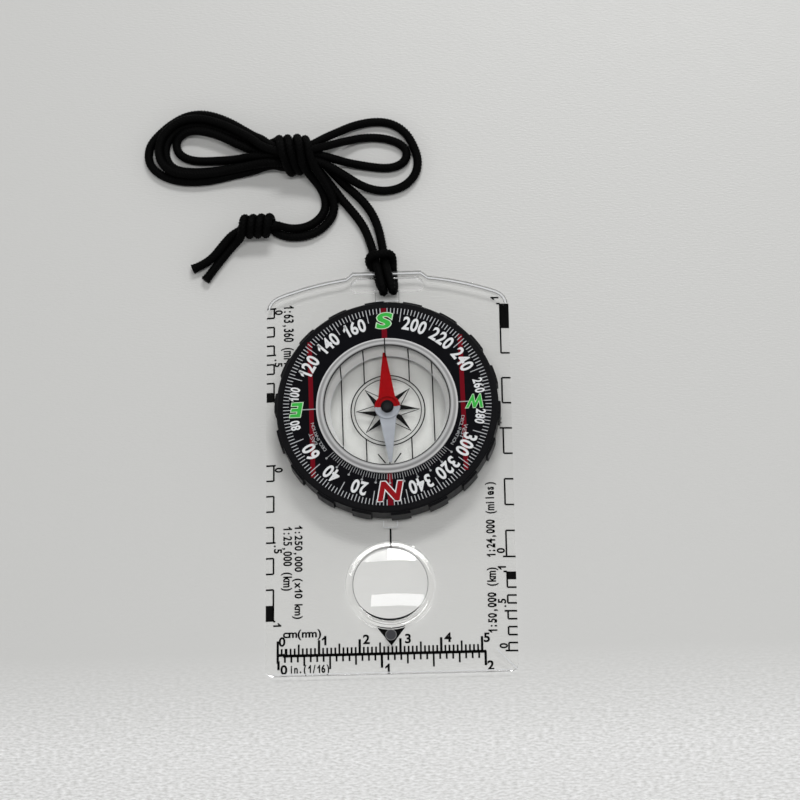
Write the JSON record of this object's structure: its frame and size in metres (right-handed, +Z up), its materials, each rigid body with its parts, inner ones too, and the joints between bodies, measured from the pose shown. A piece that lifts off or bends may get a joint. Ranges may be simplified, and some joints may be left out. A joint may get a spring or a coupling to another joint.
{
  "type": "baseplate compass",
  "caption": "Clear ruler baseplate with a turning graduated dial, liquid capsule, swinging needle, magnifier and a tied braided neck lanyard.",
  "frame": {"origin": "centre of the base plate's underside, on the surface that the compass lies on", "axes": "+Z up out of the dial face, +Y along the direction of travel towards the lanyard bar, +X to the right as the dial is read"},
  "size_m": [0.0944, 0.1532, 0.01],
  "materials": {
    "clear_acrylic": "clear, polished",
    "lens_acrylic": "clear, polished",
    "bezel_black": "semi-gloss moulded",
    "dial_print": "satin, printed",
    "capsule_clear": "clear, polished",
    "pin_steel": "turned",
    "needle_paint": "painted red and white",
    "hub_black": "satin",
    "jewel": "polished",
    "lanyard_braid": "braided polyester"
  },
  "bodies": {
    "base": {"base_plate": "clear_acrylic", "magnifier_lens": "lens_acrylic", "lanyard_hitch": "lanyard_braid", "lanyard_lead_left": "lanyard_braid", "lanyard_lead_right": "lanyard_braid", "lanyard_wrap": "lanyard_braid", "lanyard_loop_left": "lanyard_braid", "lanyard_loop_right": "lanyard_braid", "lanyard_tail_inner": "lanyard_braid", "lanyard_tail_outer": "lanyard_braid", "lanyard_end_knot": "lanyard_braid", "lanyard_end_left": "lanyard_braid", "lanyard_end_right": "lanyard_braid"},
    "dial": {"bezel_ring": "bezel_black", "graduated_ring": "dial_print", "retaining_ring": "bezel_black", "capsule_cup": "capsule_clear", "capsule_lid": "capsule_clear", "pivot_pin": "pin_steel"},
    "needle": {"needle_blade": "needle_paint", "needle_hub": "hub_black", "jewel_bearing": "jewel"}
  },
  "joints": [
    {"name": "dial_turn", "type": "hinge", "parent": "base", "child": "dial", "pos_m": [0, 0.0142, 0.0026], "axis": [0, 0, 1], "continuous": true},
    {"name": "needle_swing", "type": "hinge", "parent": "dial", "child": "needle", "pos_m": [0, 0.0142, 0.0061], "axis": [0, 0, 1], "continuous": true}
  ]
}
